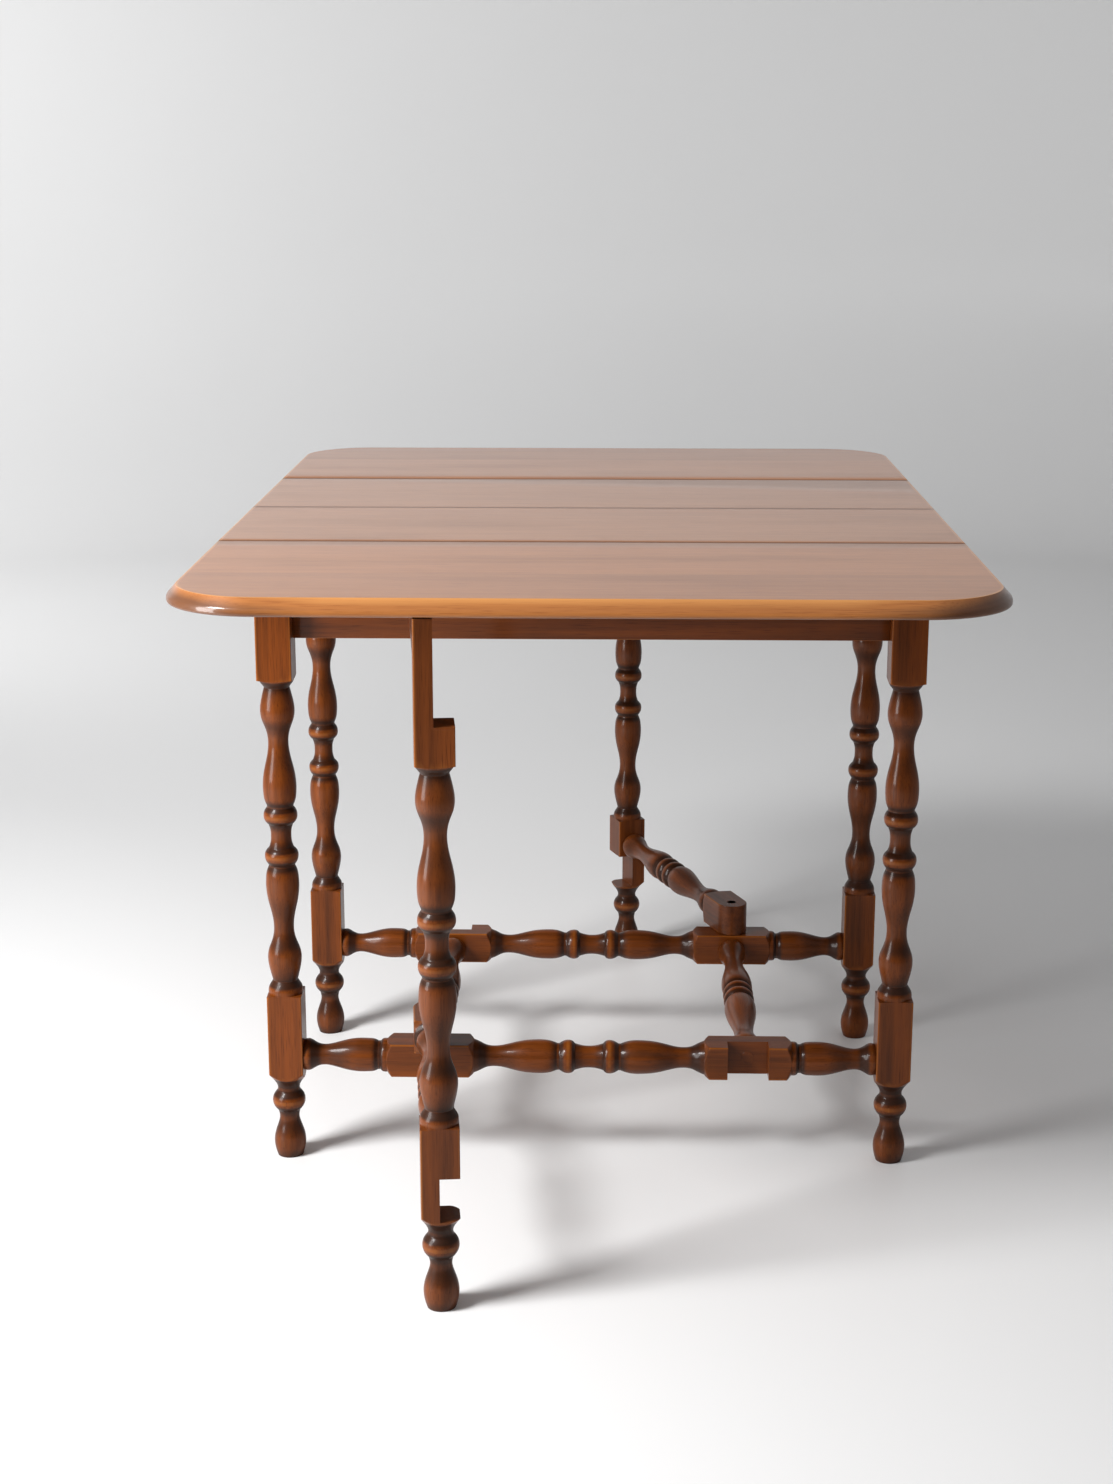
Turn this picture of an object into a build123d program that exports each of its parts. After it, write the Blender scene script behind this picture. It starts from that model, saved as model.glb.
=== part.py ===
"""A gateleg table in solid wood: a fixed centre, two drop leaves held up by two swinging gates.

Millimetres. The floor is z = 0, the frame is centred on the Z axis, the grain of the top runs along X
and the leaves lie to -Y (front) and +Y (back). Both leaves are up and both gates are swung out.
"""
from build123d import *
import os

# ---------------------------------------------------------------- driving dimensions
TABLE_HEIGHT = 762.0
TOP_THICKNESS = 18.0
TOP_WIDTH = 850.0  # along X
TOP_LENGTH = 1210.0  # along Y, leaves up
CENTRE_LENGTH = 512.0  # fixed part of the top, along Y
CORNER_RADIUS = 98.0
EDGE_INSET = 10.0  # the moulded edge: how far in from the rim the flat stops
EDGE_DROP = 11.0  # and how far down the slope runs
EDGE_ROUND = 7.0
UNDER_ROUND = 3.0
LEAF_GAP = 1.5
SEAM_EASE = 0.7
LEAF_INNER_BOARD = 201.0  # width of the board next to the seam

STOCK = 41.0  # square section of every leg, stretcher and turned rail
LEG_X = 363.0  # leg centres
LEG_Y = 203.0
APRON_THICKNESS = 19.5
APRON_BOTTOM = 640.0
STRETCHER_Z = 128.7
BLOCK_X = 190.2  # centres of the blocks of the long stretchers
BLOCK_LENGTH = 96.0

GATE_GAP = 1.0  # a gate clears the top, the apron and the stretcher's block by this much
FRONT_GATE_OPEN = 84.1  # degrees from closed
BACK_GATE_OPEN = 68.3
RAIL_THICKNESS = 19.0
RAIL_HEIGHT = 52.0
NOTCH_CLEARANCE = 4.0
APRON_NOTCH_BOTTOM = 634.0
DOWEL_RADIUS = 6.0
RUNNING_FIT = 0.05

# ---------------------------------------------------------------- worked out from those
UNDERSIDE = TABLE_HEIGHT - TOP_THICKNESS
HALF = STOCK / 2
LATHE_CLEAR = STOCK * 0.72  # a radius just outside the corners of the square stock
GATE_RADIUS = 2 * BLOCK_X
GATE_TOP = UNDERSIDE - GATE_GAP
GATE_RAIL_Z = STRETCHER_Z + STOCK + GATE_GAP
BLOCK_TOP = STRETCHER_Z + HALF
BLOCK_BOTTOM = STRETCHER_Z - HALF
SEAM_Y = CENTRE_LENGTH / 2 + LEAF_GAP / 2

UP = (Align.CENTER, Align.CENTER, Align.MIN)


def box(x, y, z):
    """A box from three (low, high) pairs."""
    size = (x[1] - x[0], y[1] - y[0], z[1] - z[0])
    middle = ((x[0] + x[1]) / 2, (y[0] + y[1]) / 2, (z[0] + z[1]) / 2)
    return Pos(*middle) * Box(*size)


def save(name, shape):
    """Write one node; a list of solids becomes one group."""
    solid = Compound(children=list(shape)) if isinstance(shape, list) else shape
    export_step(solid, f"parts/{name}.step")


def half_turn(shape):
    """The same piece at the other side of the table, turned half way round the Z axis."""
    return Rot(0, 0, 180) * shape


# ---------------------------------------------------------------- turning
def lathe(curves):
    """Turn a solid about Z. A curve is a list of (height, radius): two points make a straight cut,
    more make one smooth curve."""
    edges = []
    for curve in curves:
        points = [(radius, height) for height, radius in curve]
        edges.append(Line(*points) if len(points) == 2 else Spline(*points))
    low = curves[0][0]
    high = curves[-1][-1]
    edges.append(Polyline((high[1], high[0]), (0, high[0]), (0, low[0]), (low[1], low[0])))
    return revolve(Plane.XZ * make_face(edges), Axis.Z)


def mirrored(middle, half):
    """A profile that is the same each side of height 0, from its middle curve and its upper half."""
    lower = [[(-height, radius) for height, radius in reversed(curve)] for curve in reversed(half)]
    return lower + [middle] + half


def moved(curves, by):
    return [[(height + by, radius) for height, radius in curve] for curve in curves]


COVE = [(-14.5, 14.6), (-8.0, 12.6), (0.0, 12.0), (8.0, 12.6), (14.5, 14.6)]
LEG_HALF = [
    [(14.5, 14.6), (16.0, 16.2)],
    [(16.0, 16.2), (19.5, 18.8), (25.0, 19.8), (30.5, 18.6), (35.0, 15.6)],
    [(35.0, 15.6), (37.2, 15.6)],
    [
        (37.2, 15.6), (43.0, 17.9), (52.0, 19.3), (60.0, 19.6), (70.0, 19.0), (82.0, 17.0),
        (93.0, 14.4), (104.0, 12.4), (113.5, 11.8), (122.0, 12.5), (132.0, 15.3), (140.0, 18.3),
        (150.5, 20.0), (160.0, 19.2), (170.0, 17.1), (179.0, 14.8),
    ],
]
FOOT = [
    [(0.0, 15.5), (6.0, 17.3), (19.0, 19.0), (30.0, 17.2), (42.0, 13.2), (49.5, 11.8), (58.0, 13.4)],
    [(58.0, 13.4), (60.0, 15.2)],
    [(60.0, 15.2), (64.0, 18.0), (70.8, 19.7), (77.6, 18.0), (81.5, 15.2)],
    [(81.5, 15.2), (83.0, 13.9)],
    [(83.0, 13.9), (87.2, 13.2), (91.0, 14.1), (96.0, 16.8), (101.0, 20.6), (110.0, LATHE_CLEAR)],
]
LEG_MIDDLE = 404.0  # height of the cove at the middle of the leg's long turning
LOWER_COLLAR = [
    [(208.0, LATHE_CLEAR), (208.8, 20.6)],
    [(208.8, 20.6), (213.5, 20.4), (217.0, 19.4), (220.0, 17.7), (223.0, 15.8), (225.0, 14.8)],
]
UPPER_COLLAR = [
    [(583.0, 14.8), (584.6, 15.7), (586.6, 17.3), (589.4, 19.3), (592.0, 20.6)],
    [(592.0, 20.6), (594.2, LATHE_CLEAR)],
]


def leg(top):
    """One leg, standing on the Z axis: square blocks with turned collars, and a pear-shaped foot."""
    lower_block = [[FOOT[-1][-1], LOWER_COLLAR[0][0]]]
    turning = LOWER_COLLAR + moved(mirrored(COVE, LEG_HALF), LEG_MIDDLE) + UPPER_COLLAR
    upper_block = [[UPPER_COLLAR[-1][-1], (top, LATHE_CLEAR)]]
    return Box(STOCK, STOCK, top, align=UP) & lathe(FOOT + lower_block + turning + upper_block)


TENON_RADIUS = 8.0
TENON_LENGTH = 15.0
LEG_FACE = LEG_X - HALF
BLOCK_INNER = BLOCK_X - BLOCK_LENGTH / 2
BLOCK_OUTER = BLOCK_X + BLOCK_LENGTH / 2


def stretcher():
    """A long stretcher along X, with a block each side of its middle turning."""
    half = [
        [(17.0, 16.0), (19.5, 18.6), (25.0, 20.0), (31.0, 18.6), (35.5, 16.0)],
        [(35.5, 16.0), (38.0, 16.0)],
        [
            (38.0, 16.0), (46.0, 18.8), (62.0, 20.1), (78.0, 18.9), (92.0, 16.0), (105.0, 13.0),
            (115.0, 12.3), (124.0, 13.8), (131.0, 17.2), (BLOCK_INNER - 4.0, 20.2),
        ],
        [(BLOCK_INNER - 4.0, 20.2), (BLOCK_INNER + 2.5, LATHE_CLEAR)],
        [(BLOCK_INNER + 2.5, LATHE_CLEAR), (BLOCK_OUTER - 2.5, LATHE_CLEAR)],
        [(BLOCK_OUTER - 2.5, LATHE_CLEAR), (BLOCK_OUTER + 4.0, 20.2)],
        [(BLOCK_OUTER + 4.0, 20.2), (246.0, 20.2), (249.0, 19.0), (250.5, 17.2)],
        [(250.5, 17.2), (253.5, 17.2)],
        [
            (253.5, 17.2), (257.0, 18.9), (265.0, 20.0), (276.0, 20.1), (288.0, 18.7), (300.0, 15.8),
            (311.0, 13.1), (319.0, 12.4), (326.0, 13.9), (332.0, 17.2), (337.0, 19.2), (LEG_FACE, 18.4),
        ],
        [(LEG_FACE, 18.4), (LEG_FACE, TENON_RADIUS)],
        [(LEG_FACE, TENON_RADIUS), (LEG_FACE + TENON_LENGTH, TENON_RADIUS)],
    ]
    middle = [(-17.0, 16.0), (-8.0, 13.6), (0.0, 13.0), (8.0, 13.6), (17.0, 16.0)]
    stock = Box(STOCK, STOCK, 2 * (LEG_FACE + TENON_LENGTH))
    return Rot(0, 90, 0) * (stock & lathe(mirrored(middle, half)))


def rung_half(length):
    """Half of a rung's turning: one of its two beads, a long bulb, a neck and a swelling at the end."""
    return [
        [(2.0, 15.6), (5.0, 18.2), (10.5, 19.5), (16.0, 18.2), (19.0, 15.6)],
        [(19.0, 15.6), (21.5, 15.6)],
        [
            (21.5, 15.6), (28.0, 18.4), (40.0, 19.8), (0.34 * length, 18.7), (0.48 * length, 15.2),
            (0.60 * length, 12.6), (0.69 * length, 12.0), (0.78 * length, 13.4), (0.87 * length, 16.8),
            (0.93 * length, 18.2), (0.97 * length, 17.2), (length, 15.0),
        ],
    ]


RUNG_MIDDLE = [(-2.0, 15.6), (2.0, 15.6)]


BLIND_TENON = 12.0  # the cross stretchers' tenon at the block that carries the gate's dowel
THROUGH_TENON = HALF - GATE_GAP  # and at the notched block, where its end shows in the notch


def cross_stretcher():
    """A rung along Y between two stretcher blocks, with a through tenon to -Y and a blind one to +Y."""
    length = LEG_Y - HALF
    half = rung_half(length)
    rung = lathe(mirrored(RUNG_MIDDLE, half))
    rung += Pos(0, 0, length) * Cylinder(TENON_RADIUS, THROUGH_TENON, align=UP)
    rung += Pos(0, 0, -length - BLIND_TENON) * Cylinder(TENON_RADIUS, BLIND_TENON, align=UP)
    return Rot(90, 0, 0) * rung


# ---------------------------------------------------------------- screws and hinges
SCREW_HEAD_RADIUS = 3.6
SCREW_SHANK_RADIUS = 1.8
SCREW_HEAD_DEPTH = 2.0


def screw(length):
    """A slotted countersunk wood screw, its head's face at z = 0 and its point down."""
    neck = length * 0.8
    outline = Polyline(
        (0, 0),
        (SCREW_HEAD_RADIUS, 0),
        (SCREW_SHANK_RADIUS, -SCREW_HEAD_DEPTH),
        (SCREW_SHANK_RADIUS, -neck),
        (0, -length),
        close=True,
    )
    body = revolve(Plane.XZ * make_face(outline), Axis.Z)
    slot = Box(2 * SCREW_HEAD_RADIUS, 0.8, 1.4)
    return body - slot


PLATE_THICKNESS = 1.6
PLATE_WIDTH = 28.0
PLATE_START = 3.8  # the plate begins this far from the pin's centre, clear of the other plate's knuckles
KNUCKLE_RADIUS = 3.2
PIN_RADIUS = 1.5
PIN_HEAD = 1.2
PIN_HEAD_RADIUS = 2.8
KNUCKLES = 5
KNUCKLE_PLAY = 0.2
HINGE_LENGTH = 50.0
HINGE_SCREW_SPOTS = ((8.0, 12.0), (25.0, 21.0), (42.0, 12.0))  # along the pin, and away from it
HINGE_SCREW_LENGTH = 14.0


def hinge_screws(offset):
    """The three screws of one hinge plate, driven towards +Y with their heads flush."""
    return [Pos(away, offset, along) * Rot(90, 0, 0) * screw(HINGE_SCREW_LENGTH)
            for along, away in HINGE_SCREW_SPOTS]


def hinge_plate(offset, first, bore):
    """One plate of a butt hinge whose pin stands on the Z axis. The plate lies to +X, its near face at
    y = offset, and it has every other knuckle from number first on."""
    far = offset + PLATE_THICKNESS
    plate = box((PLATE_START, PLATE_WIDTH), (offset, far), (0, HINGE_LENGTH))
    pitch = HINGE_LENGTH / KNUCKLES
    for number in range(first, KNUCKLES, 2):
        low = number * pitch + KNUCKLE_PLAY / 2
        high = (number + 1) * pitch - KNUCKLE_PLAY / 2
        plate += box((0, PLATE_START), (offset, far), (low, high))
        plate += Pos(0, 0, low) * Cylinder(KNUCKLE_RADIUS, high - low, align=UP)
    plate -= Pos(0, 0, -1) * Cylinder(bore, HINGE_LENGTH + 2, align=UP)
    return plate - hinge_screws(offset)


def hinge_pin():
    """The pin, with a low head beyond the knuckles at each end."""
    pin = Cylinder(PIN_RADIUS, HINGE_LENGTH, align=UP)
    pin += Pos(0, 0, -PIN_HEAD) * Cylinder(PIN_HEAD_RADIUS, PIN_HEAD, align=UP)
    pin += Pos(0, 0, HINGE_LENGTH) * Cylinder(PIN_HEAD_RADIUS, PIN_HEAD, align=UP)
    return pin


KNUCKLE_SPARE = 0.6
PIN_HEAD_ROOM = 2.0


def knuckle_room(side):
    """The space round the knuckles that is cut out of the wood, to both sides of the pin."""
    reach = KNUCKLE_RADIUS + KNUCKLE_SPARE
    return box((-side, side), (-reach, reach), (-PIN_HEAD_ROOM, HINGE_LENGTH + PIN_HEAD_ROOM))


# ---------------------------------------------------------------- the top and its leaves
HINGE_AXIS_DROP = 1.5  # the leaf hinges' pins are this far below the underside
HINGE_X = 320.0  # middles of the two hinges of a leaf, outside the sweep of the gates
HINGE_AXIS_Z = UNDERSIDE - HINGE_AXIS_DROP


def top_blank():
    """The whole top with both leaves up: rounded corners and a moulded edge all round."""
    blank = extrude(RectangleRounded(TOP_WIDTH, TOP_LENGTH, CORNER_RADIUS), TOP_THICKNESS)
    rim = blank.faces().sort_by(Axis.Z)[-1]
    blank = chamfer(rim.edges(), length=EDGE_INSET, length2=EDGE_DROP, reference=rim)
    arris = TOP_THICKNESS - EDGE_DROP
    blank = fillet(blank.edges().filter_by_position(Axis.Z, arris, arris), EDGE_ROUND)
    blank = fillet(blank.edges().filter_by_position(Axis.Z, 0, 0), UNDER_ROUND)
    return Pos(0, 0, UNDERSIDE) * blank


def board(blank, low, high):
    """The slice of the top between two values of Y."""
    reach = TOP_WIDTH
    return blank & box((-reach, reach), (low, high), (UNDERSIDE - 1, TABLE_HEIGHT + 1))


def eased(piece, y):
    """Take the sharp top arris off a piece at the leaf joint at y."""
    wedge = Rot(45, 0, 0) * Box(TOP_WIDTH, SEAM_EASE * 2, SEAM_EASE * 2)
    return piece - Pos(0, y, TABLE_HEIGHT) * wedge


def leaf_hinge_place(x):
    """Where a leaf hinge stands: its pin along X under the front seam, its fixed plate to +Y."""
    corner = (x - HINGE_LENGTH / 2, -SEAM_Y, HINGE_AXIS_Z)
    return Plane(origin=corner, x_dir=(0, 1, 0), z_dir=(1, 0, 0)).location


def across(shape):
    """The mirror image on the other side of the pin, with the plates side by side."""
    return mirror(shape, about=Plane.YZ)


def folded(shape):
    """The mirror image facing this plate, as on a closed butt hinge."""
    return mirror(shape, about=Plane.XZ)


leaf_fixed_plate = hinge_plate(HINGE_AXIS_DROP, 0, PIN_RADIUS)
leaf_moving_plate = across(hinge_plate(HINGE_AXIS_DROP, 1, PIN_RADIUS + RUNNING_FIT))
leaf_hinges = {}
for side, x in (("left", -HINGE_X), ("right", HINGE_X)):
    place = leaf_hinge_place(x)
    leaf_hinges[side] = {
        "fixed_plate": place * leaf_fixed_plate,
        "moving_plate": place * leaf_moving_plate,
        "pin": place * hinge_pin(),
    }
leaf_places = [leaf_hinge_place(x) for x in (-HINGE_X, HINGE_X)]
leaf_fixed_screws = [place * one for place in leaf_places for one in hinge_screws(HINGE_AXIS_DROP)]
leaf_moving_screws = [place * across(one) for place in leaf_places
                      for one in hinge_screws(HINGE_AXIS_DROP)]
leaf_rooms = [place * knuckle_room(KNUCKLE_RADIUS + KNUCKLE_SPARE + 0.3) for place in leaf_places]

blank = top_blank()
centre_edge = CENTRE_LENGTH / 2
leaf_edge = centre_edge + LEAF_GAP
glue_line = leaf_edge + LEAF_INNER_BOARD

centre_board = eased(board(blank, -centre_edge, 0), -centre_edge)
centre_board -= [leaf_hinges[side]["fixed_plate"] for side in leaf_hinges] + leaf_fixed_screws + leaf_rooms
inner_board = eased(board(blank, -glue_line, -leaf_edge), -leaf_edge)
inner_board -= [leaf_hinges[side]["moving_plate"] for side in leaf_hinges] + leaf_moving_screws + leaf_rooms
outer_board = board(blank, -TOP_LENGTH, -glue_line)

# ---------------------------------------------------------------- glue blocks and the top's screws
GLUE_BLOCK_X = 250.0
GLUE_BLOCK_LENGTH = 80.0
GLUE_BLOCK_DEPTH = 25.0
GLUE_BLOCK_HEIGHT = 40.0
TOP_SCREW_LENGTH = 52.0
APRON_OUTER = LEG_Y - HALF + APRON_THICKNESS  # outer face of a long apron, counted from the Z axis
APRON_INNER = LEG_Y - HALF
GLUE_BLOCK_BOTTOM = UNDERSIDE - GLUE_BLOCK_HEIGHT

top_screws = []
glue_blocks = {}
for side, x in (("left", -GLUE_BLOCK_X), ("right", GLUE_BLOCK_X)):
    middle_y = -APRON_INNER + GLUE_BLOCK_DEPTH / 2
    pair = [Pos(x + shift, middle_y, GLUE_BLOCK_BOTTOM) * Rot(180, 0, 0) * screw(TOP_SCREW_LENGTH)
            for shift in (-GLUE_BLOCK_LENGTH / 4, GLUE_BLOCK_LENGTH / 4)]
    half_length = GLUE_BLOCK_LENGTH / 2
    block = box((x - half_length, x + half_length), (-APRON_INNER, -APRON_INNER + GLUE_BLOCK_DEPTH),
                (GLUE_BLOCK_BOTTOM, UNDERSIDE))
    glue_blocks[side] = block - pair
    top_screws += pair
centre_board -= top_screws

# ---------------------------------------------------------------- gates, built closed to +X of the pivot
HINGE_BOTTOM = GATE_TOP - HINGE_LENGTH - 3.0
RAIL_START = 4.4
PIVOT_BLOCK_LENGTH = 46.0
RAIL_SHOULDER = 56.0
LEG_SIDE = GATE_RADIUS - HALF  # near face of the gate leg, from the pivot
DOWEL_BOTTOM = 112.0
UPPER_TENON = 20.0
UPPER_TENON_HALF = 4.5  # half its thickness
UPPER_TENON_SHOULDER = 9.0  # how much lower than the rail it is, above and below

gate_hinge_place = Pos(0, 0, HINGE_BOTTOM)
gate_fixed_plate = gate_hinge_place * hinge_plate(GATE_GAP, 0, PIN_RADIUS)
gate_moving_plate = gate_hinge_place * folded(hinge_plate(GATE_GAP, 1, PIN_RADIUS + RUNNING_FIT))
gate_fixed_screws = [gate_hinge_place * one for one in hinge_screws(GATE_GAP)]
gate_moving_screws = [gate_hinge_place * folded(one) for one in hinge_screws(GATE_GAP)]
gate_hinge_pin = gate_hinge_place * hinge_pin()
gate_hinge_room = gate_hinge_place * knuckle_room(KNUCKLE_RADIUS + KNUCKLE_SPARE)

upper_rail = box((RAIL_START, LEG_SIDE), (-GATE_GAP - RAIL_THICKNESS, -GATE_GAP),
                 (GATE_TOP - RAIL_HEIGHT, GATE_TOP))
rail_middle = -GATE_GAP - RAIL_THICKNESS / 2
upper_rail += box((LEG_SIDE, LEG_SIDE + UPPER_TENON),
                  (rail_middle - UPPER_TENON_HALF, rail_middle + UPPER_TENON_HALF),
                  (GATE_TOP - RAIL_HEIGHT + UPPER_TENON_SHOULDER, GATE_TOP - UPPER_TENON_SHOULDER))
upper_rail -= [gate_moving_plate] + gate_moving_screws


def lower_rail():
    """The turned lower rail: a block with a rounded end over the stretcher's block, then a rung."""
    middle = (RAIL_SHOULDER + LEG_SIDE) / 2
    length = (LEG_SIDE - RAIL_SHOULDER) / 2
    block = [
        [(-HALF, LATHE_CLEAR), (PIVOT_BLOCK_LENGTH, LATHE_CLEAR)],
        [(PIVOT_BLOCK_LENGTH, LATHE_CLEAR), (49.0, 22.5), (52.5, 18.0), (RAIL_SHOULDER, 15.0)],
    ]
    rung = moved(mirrored(RUNG_MIDDLE, rung_half(length)), middle)
    tenon = [
        [(LEG_SIDE, 15.0), (LEG_SIDE, TENON_RADIUS)],
        [(LEG_SIDE, TENON_RADIUS), (LEG_SIDE + TENON_LENGTH, TENON_RADIUS)],
    ]
    turned = Rot(0, 90, 0) * lathe(block + rung + tenon)
    stock = Pos(0, 0, -HALF) * Cylinder(HALF, STOCK, align=UP)
    stock += box((0, GATE_RADIUS), (-HALF, HALF), (-HALF, HALF))
    rail = Pos(0, 0, GATE_RAIL_Z) * (stock & turned)
    return rail - Pos(0, 0, DOWEL_BOTTOM) * Cylinder(DOWEL_RADIUS + RUNNING_FIT, 100, align=UP)


gate_lower_rail = lower_rail()
pivot_dowel = Pos(0, 0, DOWEL_BOTTOM) * Cylinder(
    DOWEL_RADIUS, GATE_RAIL_Z + HALF - DOWEL_BOTTOM, align=UP)

gate_leg = Pos(GATE_RADIUS, 0, 0) * leg(GATE_TOP)
notch_x = (LEG_SIDE - 1, LEG_SIDE + STOCK + 1)
gate_leg -= box(notch_x, (-GATE_GAP, STOCK), (APRON_NOTCH_BOTTOM, TABLE_HEIGHT))
gate_leg -= box(notch_x, (-GATE_GAP, STOCK), (BLOCK_BOTTOM - NOTCH_CLEARANCE, BLOCK_TOP + NOTCH_CLEARANCE))
gate_leg -= [upper_rail, gate_lower_rail]

gate_moving = {
    "leg": gate_leg,
    "upper_rail": upper_rail,
    "lower_rail": gate_lower_rail,
    "hinge_moving_plate": gate_moving_plate,
    "hinge_moving_screws": gate_moving_screws,
}
gate_still = {
    "pivot_dowel": pivot_dowel,
    "hinge_fixed_plate": gate_fixed_plate,
    "hinge_fixed_screws": gate_fixed_screws,
    "hinge_pin": gate_hinge_pin,
}
pivot = Pos(-BLOCK_X, -LEG_Y, 0)

# ---------------------------------------------------------------- the frame
LONG_TENON = (694.0, 736.0)  # heights of the long aprons' tenons, above the end aprons' tenons
END_TENON = (650.0, 688.0)
APRON_TENON_LENGTH = 16.0
TENON_HALF_THICKNESS = 5.0


def long_apron():
    """The front apron with its two tenons, before the gate hinge is let in."""
    apron = box((-LEG_FACE, LEG_FACE), (-APRON_OUTER, -APRON_INNER), (APRON_BOTTOM, UNDERSIDE))
    middle = -(APRON_OUTER + APRON_INNER) / 2
    reach = LEG_FACE + APRON_TENON_LENGTH
    return apron + box((-reach, reach), (middle - TENON_HALF_THICKNESS, middle + TENON_HALF_THICKNESS),
                       LONG_TENON)


def end_apron():
    """The left end apron with its two tenons."""
    inner = -LEG_FACE
    outer = inner - APRON_THICKNESS
    middle = (inner + outer) / 2
    reach = APRON_INNER + APRON_TENON_LENGTH
    apron = box((outer, inner), (-APRON_INNER, APRON_INNER), (APRON_BOTTOM, UNDERSIDE))
    return apron + box((middle - TENON_HALF_THICKNESS, middle + TENON_HALF_THICKNESS), (-reach, reach),
                       END_TENON)


apron_front = long_apron()
apron_front -= [pivot * piece for piece in [gate_fixed_plate, gate_hinge_room] + gate_fixed_screws]
apron_left = end_apron()

rung_right = Pos(BLOCK_X, 0, STRETCHER_Z) * cross_stretcher()
rung_left = half_turn(rung_right)
stretcher_front = Pos(0, -LEG_Y, STRETCHER_Z) * stretcher()
notch_half = HALF + NOTCH_CLEARANCE
stretcher_front -= box((BLOCK_X - notch_half, BLOCK_X + notch_half), (-LEG_Y - STOCK, -LEG_Y + GATE_GAP),
                       (0, APRON_BOTTOM))
stretcher_front -= [rung_left, rung_right, pivot * pivot_dowel]

leg_front_left = Pos(-LEG_X, -LEG_Y, 0) * leg(UNDERSIDE) - [apron_front, apron_left, stretcher_front]
leg_front_right = (Pos(LEG_X, -LEG_Y, 0) * leg(UNDERSIDE)
                   - [apron_front, half_turn(apron_left), stretcher_front])

# ---------------------------------------------------------------- write every node
os.makedirs("parts", exist_ok=True)
save("leg_front_left", leg_front_left)
save("leg_front_right", leg_front_right)
save("leg_back_right", half_turn(leg_front_left))
save("leg_back_left", half_turn(leg_front_right))
save("apron_left", apron_left)
save("apron_right", half_turn(apron_left))
save("cross_stretcher_left", rung_left)
save("cross_stretcher_right", rung_right)
save("top_screws", top_screws + [half_turn(one) for one in top_screws])

SIDES = {
    "front": (Pos(0, 0, 0), -FRONT_GATE_OPEN, {"left": "left", "right": "right"}),
    "back": (Rot(0, 0, 180), -BACK_GATE_OPEN, {"left": "right", "right": "left"}),
}
for name, (turn, swing, seen) in SIDES.items():
    save(f"top_board_{name}", turn * centre_board)
    save(f"leaf_{name}_inner_board", turn * inner_board)
    save(f"leaf_{name}_outer_board", turn * outer_board)
    save(f"apron_{name}", turn * apron_front)
    save(f"stretcher_{name}", turn * stretcher_front)
    save(f"leaf_{name}_hinge_fixed_screws", [turn * one for one in leaf_fixed_screws])
    save(f"leaf_{name}_hinge_moving_screws", [turn * one for one in leaf_moving_screws])
    for side, pieces in leaf_hinges.items():
        save(f"glue_block_{name}_{seen[side]}", turn * glue_blocks[side])
        for piece, shape in pieces.items():
            save(f"leaf_{name}_hinge_{seen[side]}_{piece}", turn * shape)
    open_gate = turn * pivot * Rot(0, 0, swing)
    for piece, shape in gate_moving.items():
        solids = shape if isinstance(shape, list) else [shape]
        save(f"gate_{name}_{piece}", [open_gate * one for one in solids])
    for piece, shape in gate_still.items():
        solids = shape if isinstance(shape, list) else [shape]
        save(f"gate_{name}_{piece}", [turn * pivot * one for one in solids])
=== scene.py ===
"""A gateleg table in stained and varnished hardwood: the visible pieces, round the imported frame.

Metres. The grain of the top runs along X, the leaves lie to -Y (front) and +Y (back).
"""
import math

import bmesh
import bpy
import numpy as np
from mathutils import Matrix, Vector


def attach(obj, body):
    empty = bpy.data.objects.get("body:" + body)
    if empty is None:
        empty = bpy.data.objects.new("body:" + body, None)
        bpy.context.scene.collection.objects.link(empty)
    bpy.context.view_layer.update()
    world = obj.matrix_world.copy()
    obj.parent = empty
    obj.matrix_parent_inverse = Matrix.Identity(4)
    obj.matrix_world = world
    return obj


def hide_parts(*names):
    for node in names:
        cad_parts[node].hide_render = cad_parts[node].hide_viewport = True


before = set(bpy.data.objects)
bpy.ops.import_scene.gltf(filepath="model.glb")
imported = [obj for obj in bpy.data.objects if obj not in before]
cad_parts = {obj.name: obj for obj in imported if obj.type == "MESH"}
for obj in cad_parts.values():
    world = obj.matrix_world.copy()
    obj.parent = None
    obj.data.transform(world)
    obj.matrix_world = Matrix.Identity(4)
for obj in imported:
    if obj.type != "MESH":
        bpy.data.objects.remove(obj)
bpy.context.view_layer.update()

# ---------------------------------------------------------------- the room
# A pale studio: one sheet of matt paint runs from the floor up into a round wall, with painted shade that
# darkens it towards the front and to the right. A window stands to the left in front, pale daylight comes
# from above, and one lamp washes the wall behind on the left.


class Wire:
    """One socket of a finish that takes part in sums: each operator adds its Math node."""

    def __init__(self, finish, socket):
        self.finish = finish
        self.socket = socket

    def sum(self, operation, *values, clamp=False):
        sockets = dict(zip(("Value", "Value_001", "Value_002"), values))
        return self.finish.node("ShaderNodeMath", {"operation": operation, "use_clamp": clamp}, sockets)

    def __add__(self, other):
        return self.sum("ADD", self, other)

    def __sub__(self, other):
        return self.sum("SUBTRACT", self, other)

    def __rsub__(self, other):
        return self.sum("SUBTRACT", other, self)

    def __mul__(self, other):
        return self.sum("MULTIPLY", self, other)

    def __pow__(self, other):
        return self.sum("POWER", self, other)

    __radd__ = __add__
    __rmul__ = __mul__

    def sine(self):
        return self.sum("SINE", self)

    def held(self):
        """The value kept between 0 and 1."""
        return self.sum("ADD", self, 0.0, clamp=True)


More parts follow.
